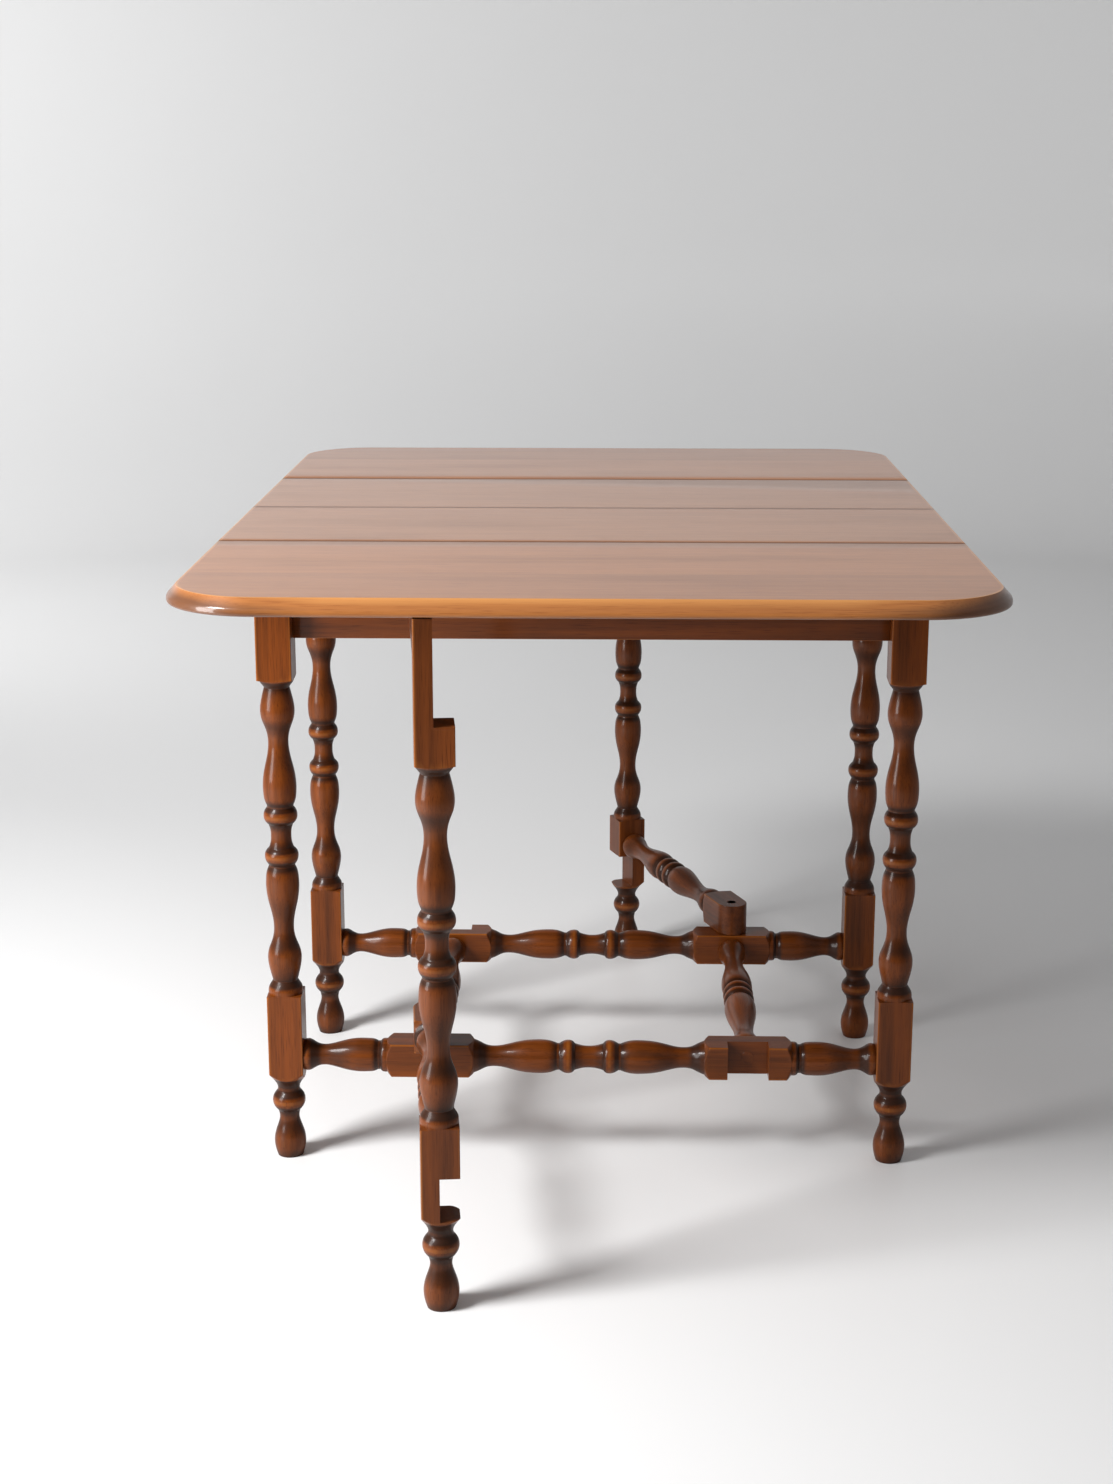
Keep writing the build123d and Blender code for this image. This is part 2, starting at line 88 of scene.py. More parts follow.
class Finish:
    """One material and its node tree; node() adds every node that isn't a sum."""

    def __init__(self, name):
        self.material = bpy.data.materials.new(name)
        self.material.use_nodes = True
        self.tree = self.material.node_tree
        self.tree.nodes.clear()

    def node(self, kind, settings=None, values=None, out=0):
        """Add a node: settings first, then its sockets by identifier. out is the output's index or name."""
        made = self.tree.nodes.new(kind)
        for name, value in (settings or {}).items():
            setattr(made, name, value)
        sockets = {socket.identifier: socket for socket in made.inputs}
        for name, value in (values or {}).items():
            if isinstance(value, Wire):
                self.tree.links.new(value.socket, sockets[name])
            else:
                sockets[name].default_value = value
        return Wire(self, made.outputs[out]) if len(made.outputs) else None

    def mixed(self, share, first, second, blend="MIX"):
        """A colour between two colours."""
        colours = {"Factor_Float": share, "A_Color": first, "B_Color": second}
        return self.node("ShaderNodeMix", {"data_type": "RGBA", "blend_type": blend}, colours, out=2)

    def noise(self, where, stretch, detail=2.0, roughness=0.5):
        """Noise with its own number of cells per metre along each axis of a vector."""
        place = self.node("ShaderNodeVectorMath", {"operation": "MULTIPLY"},
                          {"Vector": where, "Vector_001": stretch})
        return self.node("ShaderNodeTexNoise", None,
                         {"Vector": place, "Scale": 1.0, "Detail": detail, "Roughness": roughness})

    def surface(self, **values):
        """The shader itself, with underscores for the spaces in its sockets' names."""
        sockets = {name.replace("_", " "): value for name, value in values.items()}
        shader = self.node("ShaderNodeBsdfPrincipled", None, sockets)
        self.node("ShaderNodeOutputMaterial", None, {"Surface": shader})
        return self.material


def colour(red, green, blue):
    return (red, green, blue, 1.0)


FLOOR_RADIUS = 4.3
COVE_RADIUS = 0.9
WALL_TOP = 2.6
ROOM_SIDES = 96

cove = [(FLOOR_RADIUS + COVE_RADIUS * math.sin(a), COVE_RADIUS * (1 - math.cos(a)))
        for a in np.linspace(0, math.pi / 2, 17)]
room_line = [(0.8, 0.0), (2.0, 0.0)] + cove + [(FLOOR_RADIUS + COVE_RADIUS, WALL_TOP)]
room_turn = [2 * math.pi * step / ROOM_SIDES for step in range(ROOM_SIDES)]
room_points = [(r * math.cos(a), r * math.sin(a), z) for r, z in room_line for a in room_turn]
room_faces = [tuple(range(ROOM_SIDES))]
for row in range(len(room_line) - 1):
    for step in range(ROOM_SIDES):
        following = (step + 1) % ROOM_SIDES
        here, above = row * ROOM_SIDES, (row + 1) * ROOM_SIDES
        room_faces.append((here + step, above + step, above + following, here + following))
room_mesh = bpy.data.meshes.new("studio_floor")
room_mesh.from_pydata(room_points, [], room_faces)
room_mesh.shade_smooth()
room = bpy.data.objects.new("studio_floor", room_mesh)
bpy.context.scene.collection.objects.link(room)

paint = Finish("pale studio paint")
paint_place = paint.node("ShaderNodeTexCoord", out="Object")
paint_patch = paint.noise(paint_place, (1.1, 1.1, 1.1))
paint_x = paint.node("ShaderNodeSeparateXYZ", None, {"Vector": paint_place}, out="X")
paint_y = Wire(paint, paint_x.socket.node.outputs["Y"])
# Painted shade: the paint darkens towards the front, behind the camera, standing in for a dark room there.
painted_front_shade = (paint_y * -0.8 - 1.6).held()
# Painted shade: the paint darkens to the right and towards the back, where the light falls off.
painted_right_shade = (paint_x * 0.10 + paint_y * 0.05 + 0.04).held()
pale = paint.mixed(paint_patch, colour(0.81, 0.81, 0.81), colour(0.84, 0.84, 0.84))
graded = paint.mixed(painted_right_shade, pale, colour(0.42, 0.42, 0.42))
room_mesh.materials.append(paint.surface(
    Base_Color=paint.mixed(painted_front_shade, graded, colour(0.26, 0.26, 0.26)),
    Roughness=paint_patch * 0.1 + 0.42))

world = bpy.data.worlds.new("daylight")
world.use_nodes = True
world.node_tree.nodes["Background"].inputs["Color"].default_value = colour(0.99, 0.99, 1.0)
world.node_tree.nodes["Background"].inputs["Strength"].default_value = 0.34
bpy.context.scene.world = world
bpy.context.scene.view_settings.view_transform = "Standard"


def soft_light(name, place, target, width, height, power):
    """A rectangular light, standing at place and turned to face target."""
    data = bpy.data.lights.new(name, "AREA")
    data.shape = "RECTANGLE"
    data.size = width
    data.size_y = height
    data.energy = power
    light = bpy.data.objects.new(name, data)
    light.location = place
    light.rotation_euler = (Vector(target) - Vector(place)).to_track_quat("-Z", "Y").to_euler()
    light.visible_camera = False
    bpy.context.scene.collection.objects.link(light)


soft_light("sky_light", (-2.3, -1.6, 2.7), (0, 0, 0.3), 0.9, 0.9, 122)
soft_light("window_light", (-1.75, -1.2, 0.9), (0, 0, 0.5), 0.7, 1.2, 40)
soft_light("wall_light", (-2.4, 2.3, 1.9), (-0.9, 5.2, 1.5), 1.6, 1.6, 40)

CAMERA_PLACE = (0.0241, -2.7782, 1.1757)
CAMERA_DIP = 0.2497
CAMERA_TURN = 0.0245
LENS = 55.56
SENSOR = 36.0
camera_data = bpy.data.cameras.new("camera")
camera_data.sensor_width = SENSOR
camera_data.lens = LENS
camera = bpy.data.objects.new("camera", camera_data)
camera.location = CAMERA_PLACE
camera.rotation_euler = (math.pi / 2 - CAMERA_DIP, 0.0, CAMERA_TURN)
bpy.context.scene.collection.objects.link(camera)
bpy.context.scene.camera = camera

# ---------------------------------------------------------------- the four fixed legs
# Turned from 41 mm square stock, which stays square where the aprons and stretchers are tenoned in. Beads
# and bulbs are polished bright by hands and dusters; the hollows are darkened for dark old polish and painted
# shade together, and the sloping parts of the turnings are darkened as painted shade.
STOCK_HALF = 0.0205
ARRIS = 0.0012  # the corners of the square stock are rounded by this much
LEG_X = 0.363
LEG_Y = 0.203
UNDERSIDE = 0.744
CLEAR = 29.52  # millimetres: a radius just outside the corners of the square stock
ROW_STEP = 1.5

# Heights and radii in millimetres, as they are marked on the turner's rod.
COVE = [(-14.5, 14.6), (-8.0, 12.6), (0.0, 12.0), (8.0, 12.6), (14.5, 14.6)]
LEG_HALF = [
    [(14.5, 14.6), (16.0, 16.2)],
    [(16.0, 16.2), (19.5, 18.8), (25.0, 19.8), (30.5, 18.6), (35.0, 15.6)],
    [(35.0, 15.6), (37.2, 15.6)],
    [
        (37.2, 15.6), (43.0, 17.9), (52.0, 19.3), (60.0, 19.6), (70.0, 19.0), (82.0, 17.0),
        (93.0, 14.4), (104.0, 12.4), (113.5, 11.8), (122.0, 12.5), (132.0, 15.3), (140.0, 18.3),
        (150.5, 20.0), (160.0, 19.2), (170.0, 17.1), (179.0, 14.8),
    ],
]
FOOT = [
    [(0.0, 15.5), (6.0, 17.3), (19.0, 19.0), (30.0, 17.2), (42.0, 13.2), (49.5, 11.8), (58.0, 13.4)],
    [(58.0, 13.4), (60.0, 15.2)],
    [(60.0, 15.2), (64.0, 18.0), (70.8, 19.7), (77.6, 18.0), (81.5, 15.2)],
    [(81.5, 15.2), (83.0, 13.9)],
    [(83.0, 13.9), (87.2, 13.2), (91.0, 14.1), (96.0, 16.8), (101.0, 20.6), (110.0, CLEAR)],
]
LEG_MIDDLE = 404.0
LOWER_COLLAR = [
    [(208.0, CLEAR), (208.8, 20.6)],
    [(208.8, 20.6), (213.5, 20.4), (217.0, 19.4), (220.0, 17.7), (223.0, 15.8), (225.0, 14.8)],
]
UPPER_COLLAR = [
    [(583.0, 14.8), (584.6, 15.7), (586.6, 17.3), (589.4, 19.3), (592.0, 20.6)],
    [(592.0, 20.6), (594.2, CLEAR)],
]


def mirrored(middle, half):
    """A line that is the same each side of height 0, from its middle curve and its upper half."""
    lower = [[(-height, radius) for height, radius in reversed(curve)] for curve in reversed(half)]
    return lower + [middle] + half


def moved(curves, by):
    return [[(height + by, radius) for height, radius in curve] for curve in curves]


def smooth_cut(points, step):
    """Points along the natural cubic curve through a few marked ones."""
    marks = np.array(points, float)
    along = np.concatenate([[0], np.cumsum(np.hypot(*np.diff(marks, axis=0).T))])
    count = len(marks)
    gap = np.diff(along)
    system = np.eye(count)
    bend = np.zeros((count, 2))
    for i in range(1, count - 1):
        system[i, i - 1:i + 2] = gap[i - 1], 2 * (gap[i - 1] + gap[i]), gap[i]
        bend[i] = 6 * ((marks[i + 1] - marks[i]) / gap[i] - (marks[i] - marks[i - 1]) / gap[i - 1])
    bend = np.linalg.solve(system, bend)
    at = np.linspace(0, along[-1], max(3, int(np.ceil(along[-1] / step)) + 1))
    i = np.clip(np.searchsorted(along, at, side="right") - 1, 0, count - 2)
    width = gap[i][:, None]
    right = (at - along[i])[:, None] / width
    left = 1 - right
    curve = (left ** 3 - left) * bend[i] + (right ** 3 - right) * bend[i + 1]
    return left * marks[i] + right * marks[i + 1] + curve * width ** 2 / 6


def turned_line(curves):
    """Every row of a turning as heights and radii in metres: straight cuts have two marks, curves more."""
    rows = []
    for curve in curves:
        if len(curve) > 2:
            found = smooth_cut(curve, ROW_STEP)
        else:
            (low, first), (high, second) = curve
            long_block = first == second == CLEAR
            count = 2 + int(abs(high - low) / 8.0 if long_block else math.hypot(high - low, second - first))
            found = np.column_stack([np.linspace(low, high, count), np.linspace(first, second, count)])
        rows.append(found if not rows else found[1:])
    line = np.concatenate(rows) / 1000
    return line[:, 0], line[:, 1]


def stock_radius(angles):
    """How far the face of the square stock is from its middle at each angle, with rounded corners."""
    across = np.abs(np.cos(angles))
    up = np.abs(np.sin(angles))
    flat = STOCK_HALF / np.maximum(across, up)
    centre = STOCK_HALF - ARRIS
    inside = np.maximum(ARRIS ** 2 - (centre * (across - up)) ** 2, 0)
    rounded = centre * (across + up) + np.sqrt(inside)
    in_corner = np.minimum(across, up) * flat > centre
    return np.where(in_corner, rounded, flat)


CORNER_TURNS = [43.2, 43.9, 44.45, 45.55, 46.1, 46.8]
QUARTER = sorted(list(np.linspace(0, 90, 25)[:-1]) + CORNER_TURNS)
TURNS = np.radians([quarter * 90 + angle for quarter in range(4) for angle in QUARTER])
CREASE = math.radians(33)


def as_object(name, mesh):
    piece = bpy.data.objects.new(name, mesh)
    bpy.context.scene.collection.objects.link(piece)
    return piece


def turned_piece(name, heights, radii, squeeze=None):
    """A closed mesh about Z: the square stock, cut down to the turning. squeeze narrows a row along Y."""
    blunt = 0.0005
    stock = stock_radius(TURNS)[None, :]
    line = radii[:, None]
    overlap = np.clip(blunt - np.abs(line - stock), 0, None) / blunt
    reach = np.minimum(line, stock) - overlap ** 2 * blunt / 4
    x = reach * np.cos(TURNS)
    y = reach * np.sin(TURNS)
    if squeeze is not None:
        y = y * squeeze[:, None]
    points = np.stack([x, y, np.broadcast_to(heights[:, None], x.shape)], axis=-1).reshape(-1, 3)
    sides = len(TURNS)
    low = np.arange(sides)
    high = np.roll(low, -1)
    faces = []
    for row in range(len(heights) - 1):
        base = row * sides
        quads = np.stack([low, high, high + sides, low + sides], axis=1) + base
        faces.extend(map(tuple, quads.tolist()))
    faces.append(tuple(range(sides))[::-1])
    faces.append(tuple(range((len(heights) - 1) * sides, len(heights) * sides)))
    mesh = bpy.data.meshes.new(name)
    mesh.from_pydata(points.tolist(), [], faces)
    return as_object(name, mesh)


def store(mesh, name, kind, values):
    """Write one value or vector to every point of a mesh."""
    attribute = mesh.attributes.new(name, kind, "POINT")
    field = "vector" if kind == "FLOAT_VECTOR" else "value"
    attribute.data.foreach_set(field, np.ascontiguousarray(values, np.float32).ravel())


def positions(mesh):
    found = np.zeros(len(mesh.vertices) * 3, np.float32)
    mesh.vertices.foreach_get("co", found)
    return found.reshape(-1, 3).astype(float)


board_of_the_tree = np.random.default_rng(11)


def mark_grain(mesh, along, wear_and_shade):
    """Store where each point lay in the tree, with the third axis up the trunk, and how worn it is; on
    turnings and at the top's rim that value also carries painted shade.
    """
    order = {"X": (1, 2, 0), "Y": (0, 2, 1), "Z": (0, 1, 2)}[along]
    offset = board_of_the_tree.uniform(-1, 1, 3) * (0.5, 0.5, 5.0) + (0.0, 0.7, 0.0)
    store(mesh, "grain", "FLOAT_VECTOR", positions(mesh)[:, order] + offset)
    store(mesh, "wear_and_shade", "FLOAT", np.clip(wear_and_shade, 0, 1))


def turning_wear_and_shade(points, heights, radii):
    """0 in the deepest hollows and on steep slopes, 0.5 on plain faces and 1 on proud beads and corners, for
    pieces about Z.

    The hollows stand for dark old polish and painted shade together; the darkening of the slopes is painted
    shade.
    """
    even = np.arange(heights[0], heights[-1], 0.001)
    line = np.minimum(np.interp(even, heights, radii), STOCK_HALF)
    window = np.exp(-(np.arange(-30, 31) / 11.0) ** 2)
    padded = np.pad(line, 30, mode="edge")
    mean = np.convolve(padded, window / window.sum(), mode="valid")
    slope = np.abs(np.gradient(line, even))
    # Steep slopes are pushed down as if hollow: painted shade on the sloping parts of the turnings.
    proud = np.interp(points[:, 2], even, (line - mean) / 0.0045 - 2.0 * np.clip(slope - 0.10, 0, 0.8))
    corner = np.clip((np.hypot(points[:, 0], points[:, 1]) - 0.0268) / 0.0018, 0, 1)
    return 0.5 + 0.5 * np.clip(proud, -1, 1) + 0.3 * corner


def hand_over(piece, place, material, body, slot, *nodes):
    """Put a finished mesh in its place with its material, parent it to its body and hide the solids it stands
    for. slot is not used.
    """
    piece.data.transform(place)
    piece.data.materials.clear()
    piece.data.materials.append(material)
    piece.data.shade_smooth()
    piece.data.set_sharp_from_angle(angle=CREASE)
    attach(piece, body)
    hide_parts(*nodes)


def wood(name, light, dark, hollow, worn, rings=260.0, figure=0.3, mottle=1.6, roughness=0.36, coat=0.2,
         sheen=0.1, seams=()):
    """Stained and varnished hardwood: growth rings, slow streaks, fine pores, old polish, rubbed wood and
    painted shade.

    Dark polish gathers along seams, each given as its distance from the middle of the table along Y.
    """
    f = Finish(name)
    grain = f.node("ShaderNodeAttribute", {"attribute_name": "grain"}, out="Vector")
    wear_and_shade = f.node("ShaderNodeAttribute", {"attribute_name": "wear_and_shade"}, out="Fac")
    apart = f.node("ShaderNodeSeparateXYZ", None, {"Vector": grain}, out="X")
    aside = Wire(f, apart.socket.node.outputs["Y"])
    wander = f.noise(grain, (7.0, 7.0, 1.3))
    radius = (apart * apart + aside * aside) ** 0.5
    ring = (radius * rings + wander * 16.0).sine() * 0.5 + 0.5
    streak = f.noise(grain, (150.0, 150.0, 5.0), detail=3.0, roughness=0.6)
    pores = f.noise(grain, (1100.0, 1100.0, 34.0), detail=1.0)
    patch = f.noise(grain, (14.0, 14.0, 3.5), detail=2.0)
    depth = ((ring - 0.5) * figure + (streak - 0.5) * 1.3 + (patch - 0.5) * mottle + 0.42).held()
    plain = f.mixed(depth, light, dark)
    pitted = f.mixed(((pores - 0.56) * 5.0).held() * 0.45, plain, dark, "MULTIPLY")
    # Darker where the stored value is low: dark old polish, with painted shade in the hollows and on the
    # slopes of turnings and at the foot of the top's rim.
    sunk_and_shaded = ((0.49 - wear_and_shade) * 2.8 + (patch - 0.5) * 0.8).held()
    polished = f.mixed(sunk_and_shaded * 0.9, pitted, hollow)
    rubbed = ((wear_and_shade - 0.59) * 2.6 + (streak - 0.5) * 0.9).held()
    base = f.mixed(rubbed * 0.85, polished, worn)
    if seams:
        place = f.node("ShaderNodeTexCoord", out="Object")
        across = Wire(f, f.node("ShaderNodeSeparateXYZ", None, {"Vector": place}).socket.node.outputs["Y"])
        aside_of_middle = across.sum("ABSOLUTE", across)
    for seam in seams:
        off = aside_of_middle - seam
        grime_and_shade = (1.0 - off.sum("ABSOLUTE", off) * 125.0).held()
        base = f.mixed(grime_and_shade * 0.9, base, hollow)
        coat = coat - grime_and_shade * 0.55
    height = f.node("ShaderNodeBump", None, {"Strength": 0.25, "Distance": 0.0004,
                                             "Height": patch * 0.6 - (pores - 0.5).held() * 0.5})
    return f.surface(Base_Color=base, Roughness=(patch - 0.5) * mottle * 0.1 + sunk_and_shaded * 0.08 + roughness,
                     Normal=height, Specular_IOR_Level=sheen, Coat_Weight=coat, Coat_Roughness=0.12,
                     Coat_IOR=1.5)


frame_wood = wood("frame wood", colour(0.165, 0.039, 0.005), colour(0.054, 0.014, 0.003),
                  colour(0.022, 0.007, 0.003), colour(0.36, 0.110, 0.016))


def leg_line(top):
    """The whole line of a leg of that height, in millimetres."""
    lower_block = [[FOOT[-1][-1], LOWER_COLLAR[0][0]]]
    turning = LOWER_COLLAR + moved(mirrored(COVE, LEG_HALF), LEG_MIDDLE) + UPPER_COLLAR
    return turned_line(FOOT + lower_block + turning + [[UPPER_COLLAR[-1][-1], (top, CLEAR)]])


leg_heights, leg_radii = leg_line(UNDERSIDE * 1000)
for end, y in (("front", -LEG_Y), ("back", LEG_Y)):
    for side, x in (("left", -LEG_X), ("right", LEG_X)):
        leg = turned_piece(f"turned_leg_{end}_{side}", leg_heights, leg_radii)
        mark_grain(leg.data, "Z", turning_wear_and_shade(positions(leg.data), leg_heights, leg_radii))
        hand_over(leg, Matrix.Translation((x, y, 0)), frame_wood, "root", "frame_wood", f"leg_{end}_{side}")

# ---------------------------------------------------------------- the aprons
# Four boards on edge, tenoned into the tops of the legs flush with their outer faces, and let in for the
# fixed plates of the gate hinges. Their lower edges are rubbed through to lighter wood.
APRON_BOTTOM = 0.640
APRON_OUTER = 0.202
APRON_INNER = 0.1825
LEG_FACE = LEG_X - STOCK_HALF
END_APRON_OUTER = LEG_FACE + 0.0195
PIVOT_X = 0.1902
PIVOT = Matrix.Translation((-PIVOT_X, -LEG_Y, 0))
HALF_TURN = Matrix.Rotation(math.pi, 4, "Z")
HINGE_LENGTH = 0.050
HINGE_BOTTOM = 0.690
PLATE_NEAR = 0.0038
PLATE_FAR = 0.028
PLATE_THICKNESS = 0.0016
KNUCKLE_ROOM = 0.0038
KNUCKLE_SIDE = 0.0041


def box_mesh(name, spans):
    """A plain box from three (low, high) pairs, used as stock or as a cutter."""
    shape = bmesh.new()
    bmesh.ops.create_cube(shape, size=1.0)
    lows, highs = zip(*spans)
    for vertex in shape.verts:
        vertex.co = [(low + high) / 2 + unit * (high - low)
                     for low, high, unit in zip(lows, highs, vertex.co)]
    mesh = bpy.data.meshes.new(name)
    shape.to_mesh(mesh)
    shape.free()
    return mesh


def sawn_board(name, spans, ease=0.0009):
    """A sawn and planed board, all its arrises rounded over."""
    shape = bmesh.new()
    stock = box_mesh(name, spans)
    shape.from_mesh(stock)
    bmesh.ops.bevel(shape, geom=shape.edges[:], offset=ease, segments=3, profile=0.5, affect="EDGES")
    shape.to_mesh(stock)
    shape.free()
    return as_object(name, stock)


def cut_out(piece, boxes):
    """Take boxes out of a mesh; each box is three (low, high) pairs."""
    cutters = [as_object(f"cutter_{number}", box_mesh("cutter", spans)) for number, spans in enumerate(boxes)]
    for cutter in cutters:
        boolean = piece.modifiers.new("cut", "BOOLEAN")
        boolean.operation = "DIFFERENCE"
        boolean.solver = "EXACT"
        boolean.object = cutter
    found = bpy.data.meshes.new_from_object(piece.evaluated_get(bpy.context.evaluated_depsgraph_get()))
    piece.modifiers.clear()
    found.name = piece.name
    piece.data = found
    for cutter in cutters:
        bpy.data.objects.remove(cutter)


def arris_wear(points, spans, band=0.0008, low_edge=0.0):
    """0.5 on the faces of a board and more within a narrow band of two faces at once, that is on an arris."""
    lows, highs = (np.array(side) for side in zip(*spans))
    depth = np.sort(np.minimum(points - lows, highs - points), axis=1)
    edge = np.clip(1 - depth[:, 1] / band, 0, 1)
    near_floor = np.clip(1 - (points[:, 2] - lows[2]) / band, 0, 1)
    return 0.5 + 0.38 * edge + low_edge * near_floor


long_apron = ((-LEG_FACE, LEG_FACE), (-APRON_OUTER, -APRON_INNER), (APRON_BOTTOM, UNDERSIDE))
end_apron = ((-END_APRON_OUTER, -LEG_FACE), (-APRON_INNER, APRON_INNER), (APRON_BOTTOM, UNDERSIDE))
pivot_x = PIVOT.translation.x
hinge_beds = [
    ((pivot_x + PLATE_NEAR, pivot_x + PLATE_FAR), (-APRON_OUTER - 0.001, -APRON_OUTER + PLATE_THICKNESS),
     (HINGE_BOTTOM, HINGE_BOTTOM + HINGE_LENGTH)),
    ((pivot_x - KNUCKLE_SIDE, pivot_x + KNUCKLE_SIDE), (-APRON_OUTER - 0.001, -LEG_Y + KNUCKLE_ROOM),
     (HINGE_BOTTOM - 0.002, HINGE_BOTTOM + HINGE_LENGTH + 0.002)),
]
for end, turn in (("front", Matrix()), ("back", HALF_TURN)):
    apron = sawn_board(f"long_apron_{end}", long_apron)
    cut_out(apron, hinge_beds)
    mark_grain(apron.data, "X", arris_wear(positions(apron.data), long_apron, low_edge=0.3))
    hand_over(apron, turn, frame_wood, "root", "frame_wood", f"apron_{end}")
for end, turn in (("left", Matrix()), ("right", HALF_TURN)):
    apron = sawn_board(f"end_apron_{end}", end_apron)
    mark_grain(apron.data, "Y", arris_wear(positions(apron.data), end_apron, low_edge=0.3))
    hand_over(apron, turn, frame_wood, "root", "frame_wood", f"apron_{end}")

# ---------------------------------------------------------------- the long stretchers
# Turned rails between the legs of each long side. Each has two square blocks: a gate turns on one, and the
# other is notched on its outer face to take the lower end of the gate's leg.
STRETCHER_Z = 0.1287
BLOCK_X = PIVOT_X
BLOCK_INNER = 142.2
BLOCK_OUTER = 238.2
BLOCK_CHAMFER = 2.5
COLLAR = 4.0
NOTCH_HALF = 0.0245
NOTCH_FACE = -0.202

STRETCHER_MIDDLE = [(-17.0, 16.0), (-8.0, 13.6), (0.0, 13.0), (8.0, 13.6), (17.0, 16.0)]
STRETCHER_HALF = [
    [(17.0, 16.0), (19.5, 18.6), (25.0, 20.0), (31.0, 18.6), (35.5, 16.0)],
    [(35.5, 16.0), (38.0, 16.0)],
    [
        (38.0, 16.0), (46.0, 18.8), (62.0, 20.1), (78.0, 18.9), (92.0, 16.0), (105.0, 13.0),
        (115.0, 12.3), (124.0, 13.8), (131.0, 17.2), (BLOCK_INNER - COLLAR, 20.2),
    ],
    [(BLOCK_INNER - COLLAR, 20.2), (BLOCK_INNER + BLOCK_CHAMFER, CLEAR)],
    [(BLOCK_INNER + BLOCK_CHAMFER, CLEAR), (BLOCK_OUTER - BLOCK_CHAMFER, CLEAR)],
    [(BLOCK_OUTER - BLOCK_CHAMFER, CLEAR), (BLOCK_OUTER + COLLAR, 20.2)],
    [(BLOCK_OUTER + COLLAR, 20.2), (246.0, 20.2), (249.0, 19.0), (250.5, 17.2)],
    [(250.5, 17.2), (253.5, 17.2)],
    [
        (253.5, 17.2), (257.0, 18.9), (265.0, 20.0), (276.0, 20.1), (288.0, 18.7), (300.0, 15.8),
        (311.0, 13.1), (319.0, 12.4), (326.0, 13.9), (332.0, 17.2), (337.0, 19.2), (342.5, 18.4),
    ],
]

stretcher_heights, stretcher_radii = turned_line(mirrored(STRETCHER_MIDDLE, STRETCHER_HALF))
ALONG_X = Matrix.Rotation(math.pi / 2, 4, "Y")
# In the turning's own frame the height is along X of the table, and the table's up is -X.
PAST_STOCK = 0.1
notch = ((-PAST_STOCK, PAST_STOCK), (-PAST_STOCK, NOTCH_FACE + LEG_Y),
         (BLOCK_X - NOTCH_HALF, BLOCK_X + NOTCH_HALF))
for end, turn in (("front", Matrix()), ("back", HALF_TURN)):
    stretcher = turned_piece(f"long_stretcher_{end}", stretcher_heights, stretcher_radii)
    cut_out(stretcher, [notch])
    mark_grain(stretcher.data, "Z",
               turning_wear_and_shade(positions(stretcher.data), stretcher_heights, stretcher_radii))
    place = turn @ Matrix.Translation((0, -LEG_Y, STRETCHER_Z)) @ ALONG_X
    hand_over(stretcher, place, frame_wood, "root", "frame_wood", f"stretcher_{end}")

# ---------------------------------------------------------------- the cross stretchers
# Two turned rungs join the long stretchers at their blocks. A round tenon goes right through each notched
# block, so that its end grain shows in the notch, just proud of the wood round it.


def rung_half(length):
    """Half a rung in millimetres: a bead beside the middle groove, a long bulb, a neck and a swelling."""
    return [
        [(2.0, 15.6), (5.0, 18.2), (10.5, 19.5), (16.0, 18.2), (19.0, 15.6)],
        [(19.0, 15.6), (21.5, 15.6)],
        [
            (21.5, 15.6), (28.0, 18.4), (40.0, 19.8), (0.34 * length, 18.7), (0.48 * length, 15.2),
            (0.60 * length, 12.6), (0.69 * length, 12.0), (0.78 * length, 13.4), (0.87 * length, 16.8),
            (0.93 * length, 18.2), (0.97 * length, 17.2), (length, 15.0),
        ],
    ]


RUNG_MIDDLE = [(-2.0, 15.6), (2.0, 15.6)]
ALONG_Y = Matrix.Rotation(math.pi / 2, 4, "X")
RUNG_END = 182.5
TENON_RADIUS = 8.0
TENON_END = 202.2
through_tenon = [[(RUNG_END, 15.0), (RUNG_END + 0.1, TENON_RADIUS)],
                 [(RUNG_END + 0.1, TENON_RADIUS), (TENON_END - 0.5, TENON_RADIUS)],
                 [(TENON_END - 0.5, TENON_RADIUS), (TENON_END, TENON_RADIUS - 0.5)]]
rung_heights, rung_radii = turned_line(mirrored(RUNG_MIDDLE, rung_half(RUNG_END)) + through_tenon)
for side, turn in (("right", Matrix()), ("left", HALF_TURN)):
    rung = turned_piece(f"cross_rung_{side}", rung_heights, rung_radii)
    mark_grain(rung.data, "Z", turning_wear_and_shade(positions(rung.data), rung_heights, rung_radii))
    place = turn @ Matrix.Translation((BLOCK_X, 0, STRETCHER_Z)) @ ALONG_Y
    hand_over(rung, place, frame_wood, "root", "frame_wood", f"cross_stretcher_{side}")

# ---------------------------------------------------------------- the glue blocks
# Four blocks rubbed into the corner between the long aprons and the underside of the top, in plainer wood
# that was never stained. The screws that hold the top pass up through them.
GLUE_BLOCK_X = 0.250
GLUE_BLOCK_HALF = 0.040
GLUE_BLOCK_DEPTH = 0.025
GLUE_BLOCK_BOTTOM = 0.704

